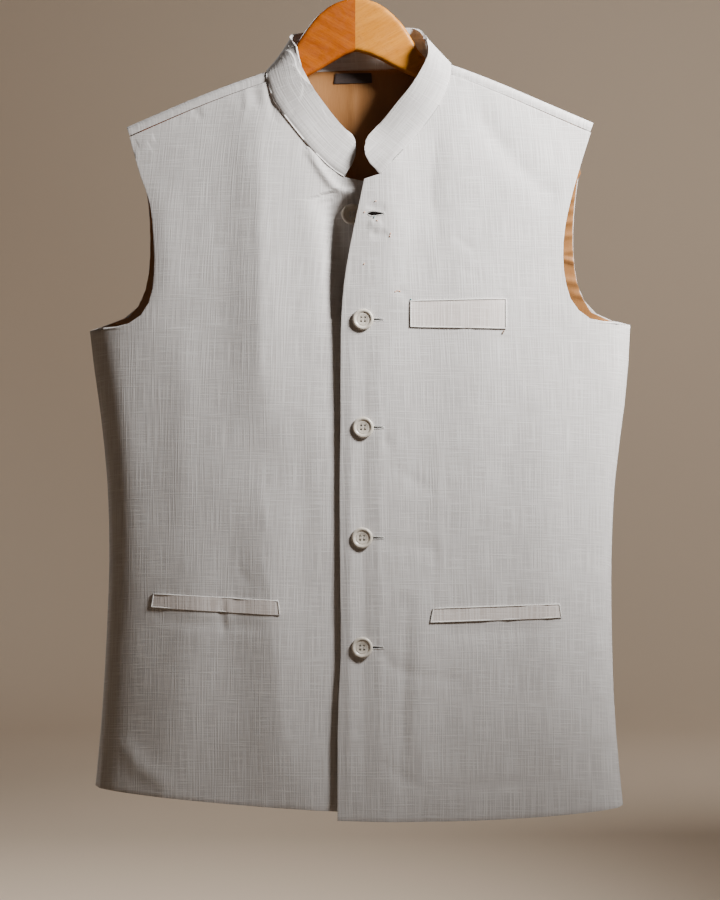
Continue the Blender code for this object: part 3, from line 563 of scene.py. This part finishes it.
# How far its top leans forward, and what share of that it does at each distance along it.
COLLAR_HEIGHT = 37
COLLAR_TILT = 6.0
COLLAR_TILT_SPAN = ((0, 25, 105, 150), (0.3, 1, 1, 0))
EDGE_STITCH_INSET = 1.9
RIM_FADE = 5.0
STITCH = {"pitch": 2.6, "length": 1.7, "thickness": 0.32}


def seam_line(node, others, reach, centre, forward):
    """The line where a node that loops round a centre meets others, from its right end to its left."""
    trees = [tree_of(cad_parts[other]) for other in others]
    points = places(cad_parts[node])
    beside = []
    for point in points:
        found = [tree.find_nearest(Vector(point), reach)[0] for tree in trees]
        beside.append(any(nearest is not None for nearest in found))
    points = points[beside]
    turn = np.arctan2(-points[:, 0], (points - centre) @ forward) % (2 * math.pi)
    steps = np.linspace(turn.min(), turn.max(), 61)
    number = np.clip(np.searchsorted(steps, turn) - 1, 0, 59)
    held = [points[number == step] for step in range(60)]
    return np.array([some.mean(axis=0) for some in held if len(some)])


def along_and_up(points, line):
    """How far along a seam line each point lies, and how far from it, in metres."""
    steps = np.diff(line, axis=0)
    sizes = np.linalg.norm(steps, axis=1)
    reach = np.concatenate([[0], np.cumsum(sizes)])
    share = np.einsum("nsk,sk->ns", points[:, None] - line[:-1], steps) / sizes**2
    held = np.clip(share, 0, 1)
    feet = line[:-1] + held[..., None] * steps
    apart = np.linalg.norm(points[:, None] - feet, axis=2)
    best = apart.argmin(axis=1)
    rows = np.arange(len(points))
    beyond = (share - held)[rows, best] * sizes[best]
    along = reach[best] + held[rows, best] * sizes[best] + beyond
    up = np.sqrt(np.maximum(apart[rows, best] ** 2 - beyond**2, 0))
    return along, up


def outwards(piece, centre):
    """Whether each point of a piece faces away from a centre, and its normal."""
    normals = np.empty(len(piece.data.vertices) * 3, np.float32)
    piece.data.vertices.foreach_get("normal", normals)
    normals = normals.reshape(-1, 3).astype(float)
    return np.einsum("nk,nk->n", normals, places(piece) - centre) > 0, normals


def sewn(name, rows, thread, length, thickness):
    """Stitches as one piece: each a small bar with sunk ends, from its place, run and facing."""
    # Each ring of a bar: its place along it, its girth and its height, as shares of the bar's size.
    stations = (
        (-0.5, 0.3, -0.25),
        (-0.32, 0.9, 0.25),
        (0.0, 1.0, 0.4),
        (0.32, 0.9, 0.25),
        (0.5, 0.3, -0.25),
    )
    points, faces = [], []
    for place, run, facing in rows:
        run = run / np.linalg.norm(run)
        side = np.cross(run, facing)
        side /= np.linalg.norm(side)
        first = len(points)
        for along, girth, height in stations:
            for turn in np.radians(range(0, 360, 60)):
                ring = (side * math.cos(turn) + facing * math.sin(turn)) * girth * thickness / 2
                points.append(place + run * along * length + facing * height * thickness + ring)
        for station in range(len(stations) - 1):
            for corner in range(6):
                low = first + station * 6 + corner
                high = first + station * 6 + (corner + 1) % 6
                faces.append((low, high, high + 6, low + 6))
        last = first + 6 * (len(stations) - 1)
        faces.append(tuple(first + corner for corner in reversed(range(6))))
        faces.append(tuple(last + corner for corner in range(6)))
    mesh = bpy.data.meshes.new(name)
    mesh.from_pydata([tuple(point) for point in points], [], faces)
    mesh.materials.append(thread)
    mesh.shade_smooth()
    piece = bpy.data.objects.new(name, mesh)
    bpy.context.scene.collection.objects.link(piece)
    return piece


def plain_thread(name, colour):
    """Twisted cotton thread."""
    made, tree, shader = new_material(name)
    place = add(tree, "ShaderNodeTexCoord").outputs["Object"]
    twist = noise(tree, place, 2600.0, 2.0, 0.6)
    dark = tuple(0.7 * part for part in colour[:3]) + (1,)
    shade = blend(tree, spread(tree, twist, 0.35, 0.65), dark, colour)
    tree.links.new(shade, shader.inputs["Base Color"])
    shader.inputs["Roughness"].default_value = 0.75
    tree.links.new(bump(tree, twist, 0.0001, 0.6), shader.inputs["Normal"])
    return made


white_thread = plain_thread("white_thread", (0.80, 0.79, 0.77, 1))
NECK_CENTRE = np.array([0.0, -12.0, -180.0]) * MM
NECK_FORWARD = np.array([0.0, -0.524, -0.852])
BESIDE_NECK = ["front_right", "front_left", "back"]
line = seam_line("collar", BESIDE_NECK, 2.0 * MM, NECK_CENTRE, NECK_FORWARD)
collar = shell_of("collar", "collar_shell", 3, 0.0007)
points = places(collar)
along, up = along_and_up(points, line)
outer, facing = outwards(collar, NECK_CENTRE)
height_share = np.clip(up / (COLLAR_HEIGHT * MM), 0, 1)
points[:, 1] -= COLLAR_TILT * height_share * np.interp(along / MM, *COLLAR_TILT_SPAN) * MM
top = []
for at in np.arange(along.min(), along.max(), STITCH["pitch"] * MM):
    beside = outer & (np.abs(along - at) < 2.5 * MM)
    if beside.any():
        top.append((at, up[beside].max()))

# Its soft creases fade out below the top edge.
under_rim = np.clip((np.interp(along, *np.transpose(top)) - up) / (RIM_FADE * MM), 0, 1)
uneven = 0.18 * unevenness(along / MM, up / MM, 40, 3.0)
soft = relief(COLLAR_CREASES, along / MM, up / MM) + uneven
points += facing * (soft * under_rim * np.where(outer, 1, -1) * MM)[:, None]
close_seam(points, BESIDE_NECK, 1.8 * MM, 6 * MM, 0.95)
place_all(collar, points)
mark_weave(collar, up, along)
collar.data.materials.append(grey_linen)

# The edge stitches follow the outer face, a little below its top edge.
flat = np.stack([along, up, np.where(outer, 0.0, 0.05)], axis=1)
faces = [list(face.vertices) for face in collar.data.polygons]
flat_tree = BVHTree.FromPolygons([tuple(point) for point in flat], faces)
spots = []
for (at, level), (at_next, level_next) in zip(top, top[1:]):
    spot = Vector(((at + at_next) / 2, (level + level_next) / 2 - EDGE_STITCH_INSET * MM, 0))
    hit, _, face, _ = flat_tree.find_nearest(spot)
    corners = faces[face][:3]
    flat_corners = [Vector(flat[corner]) for corner in corners]
    real_corners = [Vector(points[corner]) for corner in corners]
    place = barycentric_transform(hit, *flat_corners, *real_corners)
    spots.append((np.array(place), facing[corners].mean(axis=0)))
rows = []
for (before, _), (place, out), (after, _) in zip(spots, spots[1:], spots[2:]):
    rows.append((place, after - before, out))
stitch_size = (STITCH["length"] * MM, STITCH["thickness"] * MM)
edge_stitches = sewn("collar_stitches", rows, white_thread, *stitch_size)
for piece in (collar, edge_stitches):
    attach(piece, "root")
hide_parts("collar")


# Welts: strips of a pinker, finer linen, folded double and sewn down over the pocket mouths.
# A paler rolled edge runs round each of them.
WELT_UNDERSIDE = 0.05
WELT_FACE = 0.8
WELT_SPLIT = 1.0
WELT_EDGE = 0.62
WELT_EDGE_INSET = 0.3
BEFORE_WELT = 1.2


def cast_on(tree, x, z):
    """Where a line from the front meets a piece, and its facing there."""
    place, facing, _, _ = tree.ray_cast(Vector((x, -0.2, z)), Vector((0, 1, 0)))
    return np.array(place), np.array(facing)


def rolled_edge(name, path, thickness, cloth):
    """A thin roll of cloth along a closed path."""
    curve = bpy.data.curves.new(name, "CURVE")
    curve.dimensions = "3D"
    curve.bevel_depth = thickness
    curve.bevel_resolution = 2
    run = curve.splines.new("POLY")
    run.points.add(len(path) - 1)
    for point, place in zip(run.points, path):
        point.co = (*place, 1)
    run.use_cyclic_u = True
    piece = bpy.data.objects.new(name, curve)
    bpy.context.scene.collection.objects.link(piece)
    select_only(piece)
    bpy.ops.object.convert(target="MESH")
    piece.data.shade_smooth()
    piece.data.materials.clear()
    piece.data.materials.append(cloth)
    return piece


pink_linen = slub_linen(
    "pink_linen", (0.74, 0.68, 0.645, 1), (0.63, 0.57, 0.535, 1), (0.81, 0.76, 0.73, 1)
)
pale_edge = plain_thread("pale_edge", (0.88, 0.86, 0.83, 1))
for node, panel, width, height in (
    ("chest_welt", "front_left", 0.090, 0.028),
    ("pocket_welt_right", "front_right", 0.124, 0.014),
    ("pocket_welt_left", "front_left", 0.124, 0.014),
):
    welt = shell_of(node, f"{node}_shell", 3, 0.0004)
    points = places(welt)
    panel_tree = tree_of(fronts[panel])
    # It follows the panel's folds: its underside just above the panel, and its face over that.
    for point in points:
        under = cast_on(panel_tree, point[0], point[2])[0][1]
        on_face = under - point[1] > WELT_SPLIT * MM
        point[1] = under - (WELT_FACE if on_face else WELT_UNDERSIDE) * MM
    place_all(welt, points)
    mark_weave(welt, points[:, 0], points[:, 2])
    welt.data.materials.append(pink_linen)
    welt_tree = tree_of(welt)
    corners = []
    for across, upwards in ((-1, 1), (1, 1), (1, -1), (-1, -1)):
        corners.append(points[(points[:, 0] * across + points[:, 2] * upwards).argmax()])
    middle = np.mean(corners, axis=0)
    path = []
    for corner, after in zip(corners, corners[1:] + corners[:1]):
        for share in np.arange(0, 1, 0.1):
            place = corner + (after - corner) * share
            place -= WELT_EDGE_INSET * MM * np.sign(place - middle)
            before = Vector((place[0], place[1] - BEFORE_WELT * MM, place[2]))
            path.append(welt_tree.find_nearest(before)[0])
    roll = rolled_edge(f"{node}_edge", path, WELT_EDGE * MM, pale_edge)
    for piece in (welt, roll):
        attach(piece, "root")
    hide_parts(node)


# Neck label: a bare woven tab, sewn to the lining just below the collar.
dark_label, tree, shader = new_material("dark_label")
place = add(tree, "ShaderNodeTexCoord").outputs["Object"]
ribs = noise(tree, stretched(tree, place, 300, 300, 4000), 1.0, 2.0, 0.5)
colour = blend(tree, spread(tree, ribs, 0.35, 0.65), (0.020, 0.011, 0.009, 1), (0.042, 0.025, 0.021, 1))
tree.links.new(colour, shader.inputs["Base Color"])
shader.inputs["Roughness"].default_value = 0.6
tree.links.new(bump(tree, ribs, 0.0001, 0.6), shader.inputs["Normal"])
label = shell_of("neck_label", "label_shell", 2, 0.0002)
label.data.materials.append(dark_label)
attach(label, "root")
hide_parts("neck_label")


# Buttons: cream moulded discs with a raised rim and four holes, five down the front.
# Each is sewn on with two bars of doubled thread.
BUTTON_PROFILE = (
    # radius, height
    (0.0, 1.75), (4.6, 1.75), (5.1, 1.95), (5.6, 1.95), (6.0, 1.75), (6.5, 2.10), (7.1, 2.60), (7.8, 2.90),
    (8.6, 2.95), (9.2, 2.70), (9.7, 2.20), (9.95, 1.50), (9.8, 0.80), (9.3, 0.25), (8.6, 0.0), (0.0, 0.0),
)
HOLE_RADIUS = 1.0
HOLE_OFFSET = 2.5
HOLE_ASIDE = HOLE_OFFSET * 0.707
THREAD_HEIGHT = 1.70
THREAD_ASIDE = 0.15
BUTTON_THREAD = {"length": 3.6, "thickness": 0.28}
cream_button, tree, shader = new_material("cream_button")
place = add(tree, "ShaderNodeTexCoord").outputs["Object"]
cloud = noise(tree, place, 260.0, 3.0, 0.6)
colour = blend(tree, spread(tree, cloud, 0.35, 0.65), (0.60, 0.545, 0.46, 1), (0.74, 0.69, 0.61, 1))
tree.links.new(colour, shader.inputs["Base Color"])
shader.inputs["Roughness"].default_value = 0.30
tree.links.new(bump(tree, cloud, 0.0001, 0.4), shader.inputs["Normal"])

button_blank = bpy.data.meshes.new("button_blank")
profile = [(radius * MM, 0, height * MM) for radius, height in BUTTON_PROFILE]
button_blank.from_pydata(profile, [(i, i + 1) for i in range(len(profile) - 1)], [])
blank = bpy.data.objects.new("button_blank", button_blank)
bpy.context.scene.collection.objects.link(blank)
closed_up = {"use_merge_vertices": True, "merge_threshold": 0.00001, "use_normal_calculate": True}
apply_modifier(blank, "SCREW", steps=64, render_steps=64, **closed_up)
for corner in range(4):
    angle = math.radians(45 + 90 * corner)
    drill_place = (HOLE_OFFSET * MM * math.cos(angle), HOLE_OFFSET * MM * math.sin(angle), 0)
    drill_size = {"vertices": 20, "radius": HOLE_RADIUS * MM, "depth": 20 * MM}
    bpy.ops.mesh.primitive_cylinder_add(location=drill_place, **drill_size)
    drill = bpy.context.object
    apply_modifier(blank, "BOOLEAN", object=drill, operation="DIFFERENCE")
    bpy.data.objects.remove(drill)
sharp_only = {"limit_method": "ANGLE", "angle_limit": math.radians(40), "use_clamp_overlap": True}
apply_modifier(blank, "BEVEL", width=0.12 * MM, segments=2, **sharp_only)
blank_points = places(blank)

# Each button is laid as its CAD solid lies: across, upright and facing are the solid's own directions.
thread_rows = []
for number in range(1, 6):
    node = f"button_{number}"
    solid = np.unique(places(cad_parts[node]).round(6), axis=0)
    centre = (solid.min(axis=0) + solid.max(axis=0)) / 2
    facing = np.linalg.svd(solid - solid.mean(axis=0))[2][2]
    facing *= -np.sign(facing[1])
    base = centre + facing * ((solid - centre) @ facing).min()
    across = np.cross((0, 0, 1), facing)
    across /= -np.linalg.norm(across)
    upright = np.cross(facing, across)
    button = bpy.data.objects.new(f"{node}_moulded", blank.data.copy())
    bpy.context.scene.collection.objects.link(button)
    placed = np.stack([across, upright, facing])
    place_all(button, base + blank_points @ placed)
    button.data.shade_smooth()
    button.data.set_sharp_from_angle(angle=math.radians(35))
    button.data.materials.append(cream_button)
    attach(button, "root")
    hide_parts(node)
    for side in (-1, 1):
        bar = base + facing * THREAD_HEIGHT * MM + across * side * HOLE_ASIDE * MM
        for offset in (-THREAD_ASIDE, THREAD_ASIDE):
            thread_rows.append((bar + across * offset * MM, upright, facing))
bpy.data.objects.remove(blank)
cream_thread = plain_thread("cream_thread", (0.62, 0.57, 0.50, 1))
thread_size = (BUTTON_THREAD["length"] * MM, BUTTON_THREAD["thickness"] * MM)
threads = sewn("button_threads", thread_rows, cream_thread, *thread_size)


# Buttonholes: slits in the top front, each with a close row of stitches round it.
# The top one is open, because its button stays undone. Each slit is drawn as a near-black sheet
# laid just over the uncut cloth: painted shade for its dark gap.
HOLE_RIGHT_END = 21.4
SLIT_SKEW = 0.6
SLIT_HALF = 0.05
SLIT_LIFT = 0.12
STITCH_BESIDE = 0.7
STITCH_ROUND_END = 1.1
BUTTONHOLES = (
    # down, left end, right end, half of how far it gapes
    (268.7, 7.4, 22.3, 1.7),
    (368.0, 9.0, HOLE_RIGHT_END, 0.55),
    (469.0, 9.0, HOLE_RIGHT_END, 0.55),
    (572.0, 9.0, HOLE_RIGHT_END, 0.55),
    (674.0, 9.0, HOLE_RIGHT_END, 0.55),
)
HOLE_STITCH = {"pitch": 0.62, "length": 1.5, "thickness": 0.42}
front_tree = tree_of(fronts["front_left"])
# A near-black sheet for the slits: painted shade where each buttonhole's gap lies in shadow.
painted_slit_shade, tree, shader = new_material("painted_slit_shade")
place = add(tree, "ShaderNodeTexCoord").outputs["Object"]
gloom = noise(tree, place, 900.0, 2.0, 0.6)
colour = blend(tree, gloom, (0.002, 0.002, 0.002, 1), (0.012, 0.010, 0.009, 1))
tree.links.new(colour, shader.inputs["Base Color"])
shader.inputs["Roughness"].default_value = 1.0
shader.inputs["Specular IOR Level"].default_value = 0.0
slit_points, slit_faces, rows = [], [], []
for down, left, right, gape in BUTTONHOLES:
    first = len(slit_points)
    shares = np.linspace(0, 1, 13)
    for share in shares:
        at = left + (right - left) * share
        half = gape * math.sin(math.pi * share**SLIT_SKEW) + SLIT_HALF
        for side in (-1, 1):
            place, facing = cast_on(front_tree, at * MM, -(down + side * half) * MM)
            slit_points.append(tuple(place + facing * SLIT_LIFT * MM))
    for upper in range(first, first + 2 * (len(shares) - 1), 2):
        slit_faces.append((upper, upper + 1, upper + 3, upper + 2))
    for at in np.arange(left, right + 0.5, HOLE_STITCH["pitch"]):
        share = np.clip((at - left) / (right - left), 0, 1)
        half = gape * math.sin(math.pi * share**SLIT_SKEW)
        for side in (-1, 1):
            place, facing = cast_on(front_tree, at * MM, -(down + side * (half + STITCH_BESIDE)) * MM)
            rows.append((place, np.array([0.12 * side, 0, 1.0]), facing))
    for turn in np.radians((-60, -25, 0, 25, 60)):
        at = right + STITCH_BESIDE * math.cos(turn)
        level = down + STITCH_ROUND_END * math.sin(turn)
        place, facing = cast_on(front_tree, at * MM, -level * MM)
        rows.append((place, np.array([math.cos(turn), 0, -math.sin(turn)]), facing))
slit_mesh = bpy.data.meshes.new("buttonhole_slit_shade")
slit_mesh.from_pydata(slit_points, [], slit_faces)
slit_mesh.materials.append(painted_slit_shade)
slits = bpy.data.objects.new("buttonhole_slit_shade", slit_mesh)
bpy.context.scene.collection.objects.link(slits)
hole_size = (HOLE_STITCH["length"] * MM, HOLE_STITCH["thickness"] * MM)
hole_stitches = sewn("buttonhole_stitches", rows, white_thread, *hole_size)


# Loose fibres: a few orange ones and a blue one are caught in the top front, and a brown knot ends
# the chest welt's seam. The blue-green bit just below the top buttonhole is a painted reflection.
FIBRES = (
    # length, thickness, and for each bit its x, down and turn in degrees
    ("orange_fibre", (0.90, 0.50, 0.33, 1), 2.2, 0.9, (
        (14.5, 257, 20), (4.0, 267.5, 70), (16.0, 275.5, -40),
        (28.5, 287.5, 80), (28.0, 290, 100), (3.8, 316, 60),
        (33.0, 342, 15), (35.0, 341, 0), (37.0, 341.5, -20),
    )),
    # Its first bit, just below the top buttonhole, is a painted reflection; the second is a fibre.
    ("blue_fibre_and_reflection", (0.25, 0.48, 0.50, 1), 2.0, 1.1, ((13.2, 272.5, 85), (47.5, 349, 0))),
    ("brown_knot", (0.30, 0.20, 0.14, 1), 3.0, 1.2, ((134.5, 379, 60), (133.5, 380.5, 80))),
)
loose = []
for name, colour, length, thickness, bits in FIBRES:
    rows = []
    for x, down, turn in bits:
        place, facing = cast_on(front_tree, x * MM, -down * MM)
        turn = math.radians(turn)
        rows.append((place, np.array([math.cos(turn), 0, math.sin(turn)]), facing))
    thread = plain_thread(f"{name}_thread", colour)
    loose.append(sewn(name, rows, thread, length * MM, thickness * MM))
for piece in (threads, slits, hole_stitches, *loose):
    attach(piece, "root")


# Studio: a pale floor that curves up all round, a near light high on the viewer's right, a weak one
# in front, and two behind for the back and the backdrop.
pale_paper, tree, shader = new_material("pale_paper")
shader.inputs["Base Color"].default_value = (0.80, 0.66, 0.52, 1)
shader.inputs["Roughness"].default_value = 0.95
FLOOR_DOWN, FLOOR_FLAT, FLOOR_TURN, WALL_TOP = 1.25, 4.2, 1.2, 3.2
profile = [(0.0, 0, -FLOOR_DOWN), (FLOOR_FLAT, 0, -FLOOR_DOWN)]
for angle in np.radians(np.linspace(0, 90, 9))[1:]:
    radius = FLOOR_FLAT + FLOOR_TURN * math.sin(angle)
    height = -FLOOR_DOWN + FLOOR_TURN * (1 - math.cos(angle))
    profile.append((radius, 0, height))
profile.append((FLOOR_FLAT + FLOOR_TURN, 0, WALL_TOP))
bowl = bpy.data.meshes.new("floor")
bowl.from_pydata(profile, [(i, i + 1) for i in range(len(profile) - 1)], [])
floor = bpy.data.objects.new("floor", bowl)
bpy.context.scene.collection.objects.link(floor)
closed_up = {"use_merge_vertices": True, "merge_threshold": 0.0001, "use_normal_flip": True}
apply_modifier(floor, "SCREW", steps=96, render_steps=96, **closed_up)
floor.data.shade_smooth()
floor.data.materials.append(pale_paper)

# The key light is aimed beside the waistcoat, so that its soft cone weakens down and to the left.
CHEST, BESIDE, BACKDROP = (0.08, 0, -0.30), (0.43, 0, -0.03), (0.9, 5.4, 0.9)
KEY_CONE = math.radians(70)
for name, kind, place, target, size, power in (
    ("key_light", "SPOT", (0.85, -0.48, 0.30), BESIDE, 0.17, 268.0),
    ("fill_light", "AREA", (0.4, -2.6, 1.6), CHEST, 1.2, 0.7),
    ("back_light", "AREA", (-1.1, 1.6, 0.8), CHEST, 0.8, 24.0),
    ("backdrop_light", "AREA", (0.9, 2.2, 0.6), BACKDROP, 1.0, 34.0),
):
    lamp_data = bpy.data.lights.new(name, kind)
    lamp_data.energy = power
    lamp_data.color = (1.0, 0.985, 0.965)
    if kind == "SPOT":
        lamp_data.shadow_soft_size = size
        lamp_data.spot_size = KEY_CONE
        lamp_data.spot_blend = 1.0
    else:
        lamp_data.size = size
    lamp = bpy.data.objects.new(name, lamp_data)
    lamp.location = place
    lamp.rotation_euler = (Vector(target) - Vector(place)).to_track_quat("-Z", "Y").to_euler()
    lamp.visible_camera = False
    bpy.context.scene.collection.objects.link(lamp)
world = bpy.data.worlds.new("world")
world.use_nodes = True
world.node_tree.nodes["Background"].inputs["Color"].default_value = (1.0, 0.98, 0.95, 1)
world.node_tree.nodes["Background"].inputs["Strength"].default_value = 0.02
bpy.context.scene.world = world
